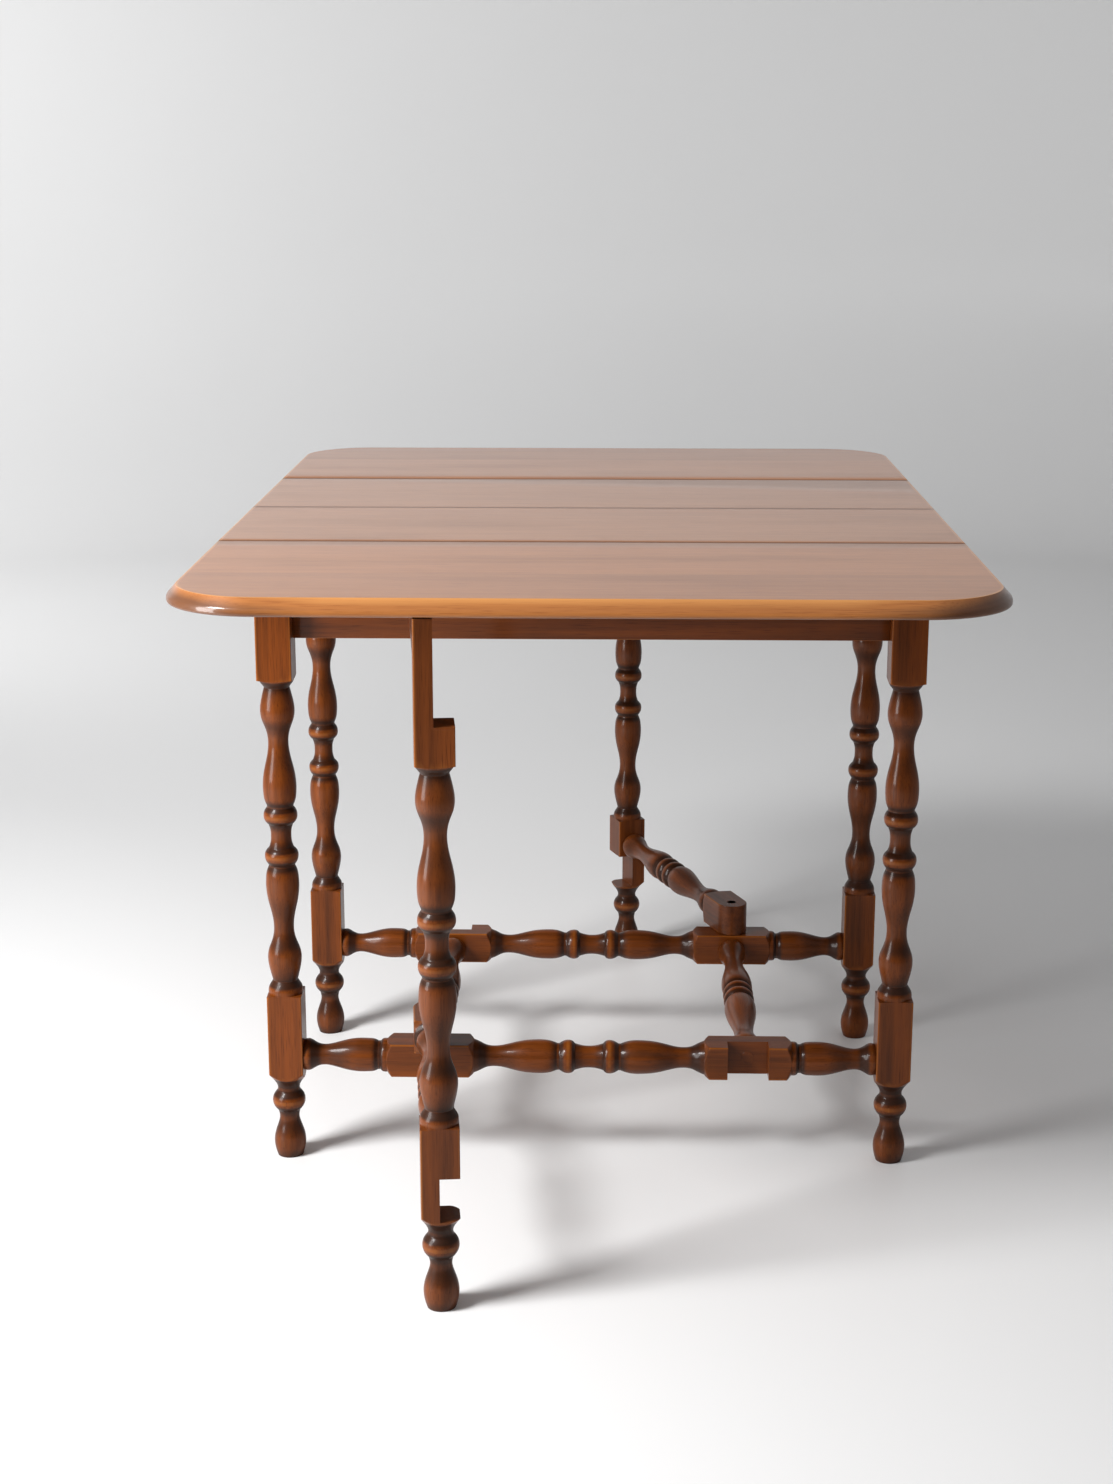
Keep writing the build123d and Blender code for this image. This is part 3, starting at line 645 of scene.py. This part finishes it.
block_wood = wood("glue block wood", colour(0.40, 0.235, 0.11), colour(0.26, 0.14, 0.06),
                  colour(0.17, 0.09, 0.04), colour(0.46, 0.29, 0.15), rings=420.0, roughness=0.6, coat=0.0)
for end, turn in (("front", Matrix()), ("back", HALF_TURN)):
    for side, x in (("left", -GLUE_BLOCK_X), ("right", GLUE_BLOCK_X)):
        spans = ((x - GLUE_BLOCK_HALF, x + GLUE_BLOCK_HALF), (-APRON_INNER, -APRON_INNER + GLUE_BLOCK_DEPTH),
                 (GLUE_BLOCK_BOTTOM, UNDERSIDE))
        seen = side if end == "front" else {"left": "right", "right": "left"}[side]
        block = sawn_board(f"rubbed_block_{end}_{seen}", spans, ease=0.0012)
        mark_grain(block.data, "X", arris_wear(positions(block.data), spans))
        hand_over(block, turn, block_wood, "root", "block_wood", f"glue_block_{end}_{seen}")

# ---------------------------------------------------------------- the top and its leaves
# Six boards with the grain along X: two make the fixed centre, and each leaf is two boards glued edge to
# edge. A sloping moulding with a crisp upper arris runs round the whole top, across the leaf joints.
TOP = 0.762
TOP_HALF_X = 0.425
TOP_HALF_Y = 0.605
CORNER_RADIUS = 0.098
EDGE_INSET = 0.010
EDGE_DROP = 0.011
EDGE_ROUND = 0.007
UNDER_ROUND = 0.003
CENTRE_EDGE = 0.256
LEAF_EDGE = 0.2575
GLUE_LINE = 0.4585
SEAM_EASE = 0.0007
LEAF_HINGE_X = 0.320
SEAM_Y = 0.25675
PAST_RIM = 0.7
KNUCKLE_TOP = 0.7463


def rim_line():
    """The moulded edge from the underside to the flat, as (inset from the rim, height)."""
    line = []
    for angle in np.radians(np.linspace(90, 0, 9)):
        line.append((UNDER_ROUND * (1 - math.cos(angle)), UNDERSIDE + UNDER_ROUND * (1 - math.sin(angle))))
    slope = math.atan2(EDGE_INSET, EDGE_DROP)
    start = TOP - EDGE_DROP - EDGE_ROUND * math.tan(slope / 2)
    for angle in np.linspace(0, slope, 11):
        line.append((EDGE_ROUND * (1 - math.cos(angle)), start + EDGE_ROUND * math.sin(angle)))
    line.append((EDGE_INSET - 0.0004, TOP - 0.00045))
    line.append((EDGE_INSET - 0.0001, TOP - 0.0001))
    line.append((EDGE_INSET + 0.0004, TOP))
    line.append((EDGE_INSET + 0.004, TOP))
    return line


def top_blank():
    """The whole top in one closed mesh, to be sawn into boards."""
    corners = [(1, 1, 0), (-1, 1, 90), (-1, -1, 180), (1, -1, 270)]
    centre_x = TOP_HALF_X - CORNER_RADIUS
    centre_y = TOP_HALF_Y - CORNER_RADIUS
    around = []
    for (sx, sy, start), (next_x, next_y, _) in zip(corners, corners[1:] + corners[:1]):
        around += [(sx * centre_x, sy * centre_y, math.radians(start + turn))
                   for turn in np.linspace(0, 90, 33)]
        around += [(centre_x * (sx + (next_x - sx) * share), centre_y * (sy + (next_y - sy) * share),
                    math.radians(start + 90)) for share in np.linspace(0, 1, 20)[1:-1]]
    shape = bmesh.new()
    rings = []
    for inset, height in rim_line():
        reach = CORNER_RADIUS - inset
        rings.append([shape.verts.new((x + reach * math.cos(a), y + reach * math.sin(a), height))
                      for x, y, a in around])
    for lower, upper in zip(rings, rings[1:]):
        for i, vertex in enumerate(lower):
            following = (i + 1) % len(lower)
            shape.faces.new((vertex, lower[following], upper[following], upper[i]))
    shape.faces.new(rings[0][::-1])
    shape.faces.new(rings[-1])
    return shape


def sawn_from(blank, name, low, high, eased):
    """One board of the top between two values of Y, with the upper arris taken off at the eased ones."""
    shape = blank.copy()
    for y, side in ((low, -1), (high, 1)):
        bmesh.ops.bisect_plane(shape, geom=shape.verts[:] + shape.edges[:] + shape.faces[:], dist=1e-7,
                               plane_co=(0, y, 0), plane_no=(0, side, 0), clear_outer=True)
        rim = [edge for edge in shape.edges if edge.is_boundary]
        if rim:
            bmesh.ops.holes_fill(shape, edges=rim, sides=0)
    sharp = [edge for edge in shape.edges for y in eased
             if all(abs(v.co.y - y) < 1e-6 and v.co.z > UNDERSIDE + 0.004 for v in edge.verts)]
    if sharp:
        bmesh.ops.bevel(shape, geom=sharp, offset=SEAM_EASE, segments=2, profile=0.5, affect="EDGES")
    bmesh.ops.recalc_face_normals(shape, faces=shape.faces[:])
    mesh = bpy.data.meshes.new(name)
    shape.to_mesh(mesh)
    shape.free()
    return as_object(name, mesh)


def rim_wear_and_shade(points):
    """Handled arrises are bright; the foot of the rim is darkened as painted shade under the overhang, and
    the rim darkens towards the ends of the top.
    """
    out = np.abs(points[:, :2]) - (TOP_HALF_X - CORNER_RADIUS, TOP_HALF_Y - CORNER_RADIUS)
    inset = CORNER_RADIUS - np.hypot(*np.maximum(out, 0).T) - np.minimum(out.max(axis=1), 0)
    arris = np.exp(-((inset - EDGE_INSET) / 0.0012) ** 2) * (points[:, 2] > TOP - 0.002)
    # Painted shade: the foot of the rim, under the overhang, is darkened.
    grime_and_shade = np.clip(1 - (points[:, 2] - UNDERSIDE) / 0.005, 0, 1) * (inset < 0.006)
    # The rim is darkened towards the ends of the top.
    rim_darker_to_ends = np.clip((np.abs(points[:, 0]) - 0.26) / 0.13, 0, 1) * (inset < EDGE_INSET - 0.0003)
    return 0.5 + 0.42 * arris - 0.25 * grime_and_shade - 0.48 * rim_darker_to_ends


top_colours = {
    "outer": (colour(0.42, 0.155, 0.04), colour(0.29, 0.098, 0.025)),
    "inner": (colour(0.47, 0.175, 0.045), colour(0.33, 0.112, 0.028)),
    "centre": (colour(0.45, 0.185, 0.065), colour(0.32, 0.122, 0.042)),
}
top_woods = {
    name: wood(f"top wood {name}", light, dark, colour(0.10, 0.035, 0.012), colour(0.66, 0.30, 0.09),
               rings=150.0, figure=0.1, mottle=0.45, roughness=0.34, coat=0.66, sheen=0.22,
               seams=(0.0, SEAM_Y))
    for name, (light, dark) in top_colours.items()
}

blank = top_blank()


def leaf_bed(x, near, far):
    """The bed of a leaf hinge's plate under the top, from near to far along Y."""
    return ((x - HINGE_LENGTH / 2, x + HINGE_LENGTH / 2), (near, far),
            (UNDERSIDE - 0.001, UNDERSIDE + PLATE_THICKNESS))


def knuckle_bed(x):
    return ((x - HINGE_LENGTH / 2 - 0.002, x + HINGE_LENGTH / 2 + 0.002),
            (-SEAM_Y - KNUCKLE_SIDE, -SEAM_Y + KNUCKLE_SIDE), (UNDERSIDE - 0.001, KNUCKLE_TOP))


hinge_middles = (-LEAF_HINGE_X, LEAF_HINGE_X)
knuckle_beds = [knuckle_bed(x) for x in hinge_middles]
centre_beds = [leaf_bed(x, -SEAM_Y + PLATE_NEAR, -SEAM_Y + PLATE_FAR) for x in hinge_middles] + knuckle_beds
inner_beds = [leaf_bed(x, -SEAM_Y - PLATE_FAR, -SEAM_Y - PLATE_NEAR) for x in hinge_middles] + knuckle_beds
top_boards = (
    ("top_board", "fixed_board", "centre", -CENTRE_EDGE, 0.0, (-CENTRE_EDGE,), centre_beds),
    ("leaf_inner", "leaf_inner_board", "inner", -GLUE_LINE, -LEAF_EDGE, (-LEAF_EDGE,), inner_beds),
    ("leaf_outer", "leaf_outer_board", "outer", -PAST_RIM, -GLUE_LINE, (), []),
)
for end, turn in (("front", Matrix()), ("back", HALF_TURN)):
    nodes = {"top_board": f"top_board_{end}", "leaf_inner": f"leaf_{end}_inner_board",
             "leaf_outer": f"leaf_{end}_outer_board"}
    for kind, name, tint, low, high, eased, beds in top_boards:
        board = sawn_from(blank, f"{name}_{end}", low, high, eased)
        if beds:
            cut_out(board, beds)
        mark_grain(board.data, "X", rim_wear_and_shade(positions(board.data)))
        body = "root" if kind == "top_board" else f"leaf_{end}"
        hand_over(board, turn, top_woods[tint], body, "top_wood", nodes[kind])
blank.free()

# ---------------------------------------------------------------- the gates
# Each gate is a leg like the others, an upper rail of plain board hinged to the apron, and a turned lower
# rail with a round-ended block that turns on a dowel. The leg is notched to fold over apron and stretcher.
GATE_RADIUS = 0.3804
GATE_TOP = 0.743
GATE_GAP = 0.001
LEG_SIDE = GATE_RADIUS - STOCK_HALF
GATE_RAIL_Z = 0.1707
RAIL_BOTTOM = 0.691
RAIL_BACK = -0.020
RAIL_START = 0.0044
APRON_NOTCH_BOTTOM = 0.634
LOW_NOTCH = (0.1042, 0.1532)
gates = {
    "front": PIVOT @ Matrix.Rotation(math.radians(-84.1), 4, "Z"),
    "back": HALF_TURN @ PIVOT @ Matrix.Rotation(math.radians(-68.3), 4, "Z"),
}
gate_wood = wood("gate wood", colour(0.165, 0.042, 0.008), colour(0.058, 0.015, 0.004),
                 colour(0.020, 0.007, 0.003), colour(0.35, 0.115, 0.022))

PIVOT_BLOCK = [
    [(0.0, CLEAR), (46.0, CLEAR)],
    [(46.0, CLEAR), (49.0, 22.5), (52.5, 18.0), (56.0, 15.0)],
]
NECK_START = PIVOT_BLOCK[-1][-1][0]
RAIL_END = 359.9
rail_rung = mirrored(RUNG_MIDDLE, rung_half((RAIL_END - NECK_START) / 2))
rail_rung = moved(rail_rung, (RAIL_END + NECK_START) / 2)
rail_heights, rail_radii = turned_line(PIVOT_BLOCK + rail_rung)
round_end = -STOCK_HALF * np.cos(np.linspace(0, math.pi / 2, 19))[:-1]
end_width = np.sqrt(np.clip(1 - (round_end / STOCK_HALF) ** 2, 0, 1))
rail_squeeze = np.concatenate([end_width, np.ones(len(rail_heights))])
rail_heights = np.concatenate([round_end, rail_heights])
rail_radii = np.concatenate([np.full(len(round_end), CLEAR / 1000), rail_radii])

gate_heights, gate_radii = leg_line(GATE_TOP * 1000)
leg_notches = [((-0.03, 0.03), (-GATE_GAP, 0.03), span) for span in (LOW_NOTCH, (APRON_NOTCH_BOTTOM, TOP))]
upper_rail = ((RAIL_START, LEG_SIDE), (RAIL_BACK, -GATE_GAP), (RAIL_BOTTOM, GATE_TOP))
rail_bed = ((PLATE_NEAR, PLATE_FAR), (-GATE_GAP - PLATE_THICKNESS, 0.0),
            (HINGE_BOTTOM, HINGE_BOTTOM + HINGE_LENGTH))
for end, place in gates.items():
    body = f"gate_{end}"
    leg = turned_piece(f"gate_leg_{end}", gate_heights, gate_radii)
    cut_out(leg, leg_notches)
    mark_grain(leg.data, "Z", turning_wear_and_shade(positions(leg.data), gate_heights, gate_radii))
    hand_over(leg, place @ Matrix.Translation((GATE_RADIUS, 0, 0)), gate_wood, body, "gate_wood",
              f"gate_{end}_leg")

    rail = sawn_board(f"gate_upper_rail_{end}", upper_rail)
    cut_out(rail, [rail_bed])
    mark_grain(rail.data, "X", arris_wear(positions(rail.data), upper_rail))
    hand_over(rail, place, gate_wood, body, "gate_wood", f"gate_{end}_upper_rail")

    rail = turned_piece(f"gate_lower_rail_{end}", rail_heights, rail_radii, squeeze=rail_squeeze)
    shape = bmesh.new()
    shape.from_mesh(rail.data)
    bmesh.ops.remove_doubles(shape, verts=shape.verts[:], dist=1e-6)
    bmesh.ops.dissolve_degenerate(shape, edges=shape.edges[:], dist=1e-6)
    bmesh.ops.recalc_face_normals(shape, faces=shape.faces[:])
    shape.to_mesh(rail.data)
    shape.free()
    mark_grain(rail.data, "Z", turning_wear_and_shade(positions(rail.data), rail_heights, rail_radii))
    hand_over(rail, place @ Matrix.Translation((0, 0, GATE_RAIL_Z)) @ ALONG_X, gate_wood, body, "gate_wood",
              f"gate_{end}_lower_rail")

dowel_wood = Finish("dowel end grain")
dowel_place = dowel_wood.node("ShaderNodeTexCoord", out="Object")
dowel_grain = dowel_wood.noise(dowel_place, (900.0, 900.0, 30.0), detail=3.0)
dowel_surface = dowel_wood.surface(
    Base_Color=dowel_wood.mixed(dowel_grain, colour(0.20, 0.10, 0.045), colour(0.07, 0.03, 0.012)),
    Roughness=dowel_grain * 0.2 + 0.45)
for end in gates:
    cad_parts[f"gate_{end}_pivot_dowel"].data.materials.clear()
    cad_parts[f"gate_{end}_pivot_dowel"].data.materials.append(dowel_surface)

# ---------------------------------------------------------------- the hinges
# Pressed steel butt hinges, browned with age: two under each leaf and one at the top of each gate. Their
# plates are let in flush, and their pins have low heads.
steel = Finish("browned steel")
steel_place = steel.node("ShaderNodeTexCoord", out="Object")
steel_patch = steel.noise(steel_place, (90.0, 90.0, 90.0), detail=4.0, roughness=0.65)
steel_fine = steel.noise(steel_place, (900.0, 900.0, 900.0), detail=2.0)
rust = ((steel_patch - 0.5) * 3.0).held()
steel_bump = steel.node("ShaderNodeBump", None, {"Strength": 0.3, "Distance": 0.0002, "Height": steel_fine})
steel_surface = steel.surface(
    Base_Color=steel.mixed(rust, colour(0.20, 0.17, 0.14), colour(0.12, 0.065, 0.035)),
    Metallic=1.0 - rust * 0.7, Roughness=rust * 0.25 + 0.38, Normal=steel_bump)
for name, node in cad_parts.items():
    if name.endswith(("_plate", "_pin")):
        node.data.materials.clear()
        node.data.materials.append(steel_surface)

# ---------------------------------------------------------------- the screws
# Slotted countersunk wood screws: three in every hinge plate, and two up through every glue block into the
# top. One tree makes a screw and sets a copy on every point, along its axis and turned to its own angle.
SCREW_SPOTS = ((0.008, 0.012), (0.025, 0.021), (0.042, 0.012))
HINGE_SCREW = 0.014
TOP_SCREW = 0.052

screw_tree = bpy.data.node_groups.new("screws", "GeometryNodeTree")
for label, kind, first in (("Points", "NodeSocketGeometry", None), ("Length", "NodeSocketFloat", HINGE_SCREW),
                           ("Head Radius", "NodeSocketFloat", 0.0036),
                           ("Shank Radius", "NodeSocketFloat", 0.0018),
                           ("Head Depth", "NodeSocketFloat", 0.0020),
                           ("Slot Width", "NodeSocketFloat", 0.0008),
                           ("Metal", "NodeSocketMaterial", None)):
    socket = screw_tree.interface.new_socket(name=label, in_out="INPUT", socket_type=kind)
    if first is not None:
        socket.default_value = first
screw_tree.interface.new_socket(name="Screws", in_out="OUTPUT", socket_type="NodeSocketGeometry")


def add_node(kind, settings=None, values=None):
    """Add one node to the screws' tree; a value may be another node's output socket."""
    made = screw_tree.nodes.new(kind)
    for name, value in (settings or {}).items():
        setattr(made, name, value)
    for name, value in (values or {}).items():
        if isinstance(value, bpy.types.NodeSocket):
            screw_tree.links.new(value, made.inputs[name])
        else:
            made.inputs[name].default_value = value
    return made


def math_node(operation, first, second):
    return add_node("ShaderNodeMath", {"operation": operation}, {0: first, 1: second}).outputs[0]


def lifted(shape, height):
    """A shape moved up its own axis."""
    offset = add_node("ShaderNodeCombineXYZ", None, {"Z": height}).outputs[0]
    return add_node("GeometryNodeTransform", None, {"Geometry": shape, "Translation": offset}).outputs[0]


given = add_node("NodeGroupInput").outputs
head = add_node("GeometryNodeMeshCone", None, {
    "Vertices": 28, "Radius Top": given["Head Radius"], "Radius Bottom": given["Shank Radius"],
    "Depth": given["Head Depth"]}).outputs["Mesh"]
shank_length = math_node("SUBTRACT", math_node("MULTIPLY", given["Length"], 0.8), given["Head Depth"])
shank = add_node("GeometryNodeMeshCone", None, {
    "Vertices": 28, "Radius Top": given["Shank Radius"], "Radius Bottom": given["Shank Radius"],
    "Depth": shank_length}).outputs["Mesh"]
tip = add_node("GeometryNodeMeshCone", None, {
    "Vertices": 28, "Radius Top": given["Shank Radius"], "Radius Bottom": 0.00005,
    "Depth": math_node("MULTIPLY", given["Length"], 0.2)}).outputs["Mesh"]
slot_size = add_node("ShaderNodeCombineXYZ", None, {
    "X": math_node("MULTIPLY", given["Head Radius"], 3.0), "Y": given["Slot Width"], "Z": 0.0028}).outputs[0]
slot = add_node("GeometryNodeMeshCube", None, {"Size": slot_size}).outputs["Mesh"]
head_low = math_node("MULTIPLY", given["Head Depth"], -1.0)
parts = [lifted(head, head_low), lifted(shank, math_node("MULTIPLY", given["Length"], -0.8)),
         lifted(tip, math_node("MULTIPLY", given["Length"], -1.0))]
union = add_node("GeometryNodeMeshBoolean", {"operation": "UNION", "solver": "EXACT"})
for part in parts:
    screw_tree.links.new(part, union.inputs["Mesh 2"])
slotted = add_node("GeometryNodeMeshBoolean", {"operation": "DIFFERENCE", "solver": "EXACT"},
                   {"Mesh 1": union.outputs["Mesh"], "Mesh 2": slot}).outputs["Mesh"]
axis = add_node("GeometryNodeInputNamedAttribute", {"data_type": "FLOAT_VECTOR"}, {"Name": "axis"}).outputs[0]
twist = add_node("GeometryNodeInputNamedAttribute", {"data_type": "FLOAT"}, {"Name": "twist"}).outputs[0]
aim = add_node("FunctionNodeAlignRotationToVector", {"axis": "Z"}, {"Vector": axis}).outputs[0]
spin = add_node("FunctionNodeAxisAngleToRotation", None, {"Axis": (0, 0, 1), "Angle": twist}).outputs[0]
turned_aim = add_node("FunctionNodeRotateRotation", {"rotation_space": "LOCAL"},
                      {"Rotation": aim, "Rotate By": spin}).outputs[0]
copies = add_node("GeometryNodeInstanceOnPoints", None, {
    "Points": given["Points"], "Instance": slotted, "Rotation": turned_aim}).outputs[0]
real = add_node("GeometryNodeRealizeInstances", None, {"Geometry": copies}).outputs[0]
coated = add_node("GeometryNodeSetMaterial", None, {"Geometry": real, "Material": given["Metal"]}).outputs[0]
add_node("NodeGroupOutput", None, {"Screws": coated})
screw_inputs = {item.name: item.identifier for item in screw_tree.interface.items_tree
                if item.in_out == "INPUT"}
slot_angles = np.random.default_rng(5)


def drive_screws(name, spots, place, length, body, node):
    """Set screws in one body: each spot is where the head's face lies and the way it looks."""
    points = [place @ Vector(where) for where, _ in spots]
    looks = [place.to_3x3() @ Vector(way) for _, way in spots]
    mesh = bpy.data.meshes.new(name)
    mesh.from_pydata(points, [], [])
    store(mesh, "axis", "FLOAT_VECTOR", looks)
    store(mesh, "twist", "FLOAT", slot_angles.uniform(0, math.pi, len(spots)))
    piece = as_object(name, mesh)
    modifier = piece.modifiers.new("screws", "NODES")
    modifier.node_group = screw_tree
    modifier[screw_inputs["Length"]] = length
    modifier[screw_inputs["Metal"]] = steel_surface
    made = bpy.data.meshes.new_from_object(piece.evaluated_get(bpy.context.evaluated_depsgraph_get()))
    piece.modifiers.clear()
    piece.data = made
    made.shade_smooth()
    made.set_sharp_from_angle(angle=CREASE)
    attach(piece, body)
    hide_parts(node)


block_spots = [((x + shift, -APRON_INNER + GLUE_BLOCK_DEPTH / 2, GLUE_BLOCK_BOTTOM), (0, 0, -1))
               for x in (-GLUE_BLOCK_X, GLUE_BLOCK_X) for shift in (-0.02, 0.02)]
block_spots += [((-x, -y, z), way) for (x, y, z), way in block_spots]
drive_screws("screws_into_top", block_spots, Matrix(), TOP_SCREW, "root", "top_screws")

for end, turn in (("front", Matrix()), ("back", HALF_TURN)):
    for kind, way, body in (("fixed", 1, "root"), ("moving", -1, f"leaf_{end}")):
        spots = [((x - HINGE_LENGTH / 2 + along, -SEAM_Y + way * away, UNDERSIDE), (0, 0, -1))
                 for x in hinge_middles for along, away in SCREW_SPOTS]
        drive_screws(f"{kind}_plate_screws_leaf_{end}", spots, turn, HINGE_SCREW, body,
                     f"leaf_{end}_hinge_{kind}_screws")
    fixed_spots = [((away, GATE_GAP, HINGE_BOTTOM + along), (0, -1, 0)) for along, away in SCREW_SPOTS]
    drive_screws(f"fixed_plate_screws_gate_{end}", fixed_spots, turn @ PIVOT, HINGE_SCREW, "root",
                 f"gate_{end}_hinge_fixed_screws")
    moving_spots = [((away, -GATE_GAP, HINGE_BOTTOM + along), (0, 1, 0)) for along, away in SCREW_SPOTS]
    drive_screws(f"moving_plate_screws_gate_{end}", moving_spots, gates[end], HINGE_SCREW, f"gate_{end}",
                 f"gate_{end}_hinge_moving_screws")
